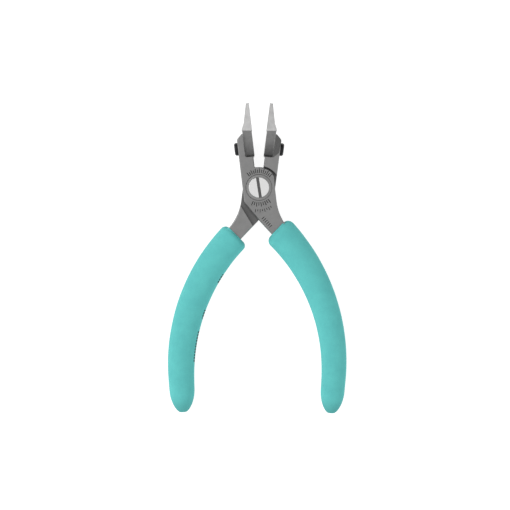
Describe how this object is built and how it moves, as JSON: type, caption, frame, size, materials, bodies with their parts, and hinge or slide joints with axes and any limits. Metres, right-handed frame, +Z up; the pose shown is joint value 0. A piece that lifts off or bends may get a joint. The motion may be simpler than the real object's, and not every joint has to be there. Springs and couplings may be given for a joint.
{
  "type": "flat nose pliers",
  "caption": "Small flat nose pliers with a screwed lap joint, sprung open, with slender replaceable tips clamped in the jaws and bowed handles in foam grips.",
  "frame": {"origin": "centre of the footprint on the surface that the pliers lie on", "axes": "+Z up from the surface through the pivot screw's slotted head, +Y along the length towards the tips, +X towards the right-hand grip seen from above"},
  "size_m": [0.0841, 0.1456, 0.0137],
  "materials": {
    "lever_steel": "satin, fine bead-blasted forging",
    "tip_steel": "light satin, finely ground",
    "dark_steel": "darker satin",
    "black_screw": "black oxide",
    "bright_steel": "bright, lightly turned",
    "pin_steel": "ground",
    "spring_steel": "drawn wire",
    "grip_foam": "matt, fine closed-cell foam, teal"
  },
  "bodies": {
    "rear_half": {"rear_lever": "lever_steel", "right_tip": "tip_steel", "right_tip_holder": "dark_steel", "right_clamp_screw": "black_screw", "right_dowel": "pin_steel", "left_grip": "grip_foam", "pivot_screw": "bright_steel", "lock_washer": "pin_steel", "pivot_nut": "dark_steel", "rear_spring_pin": "pin_steel", "return_spring": "spring_steel"},
    "front_half": {"front_lever": "lever_steel", "left_tip": "tip_steel", "left_tip_holder": "dark_steel", "left_clamp_screw": "black_screw", "left_dowel": "pin_steel", "right_grip": "grip_foam", "pivot_bush": "pin_steel", "dished_washer": "lever_steel", "front_spring_pin": "pin_steel"}
  },
  "joints": [
    {"name": "squeeze", "type": "hinge", "parent": "rear_half", "child": "front_half", "pos_m": [0, 0.0331, 0.00686], "axis": [0, 0, -1], "range_deg": [0, 13.9], "stiffness_Nm_per_rad": 0.8, "springref_deg": -20.05, "deforming": ["return_spring"]}
  ]
}
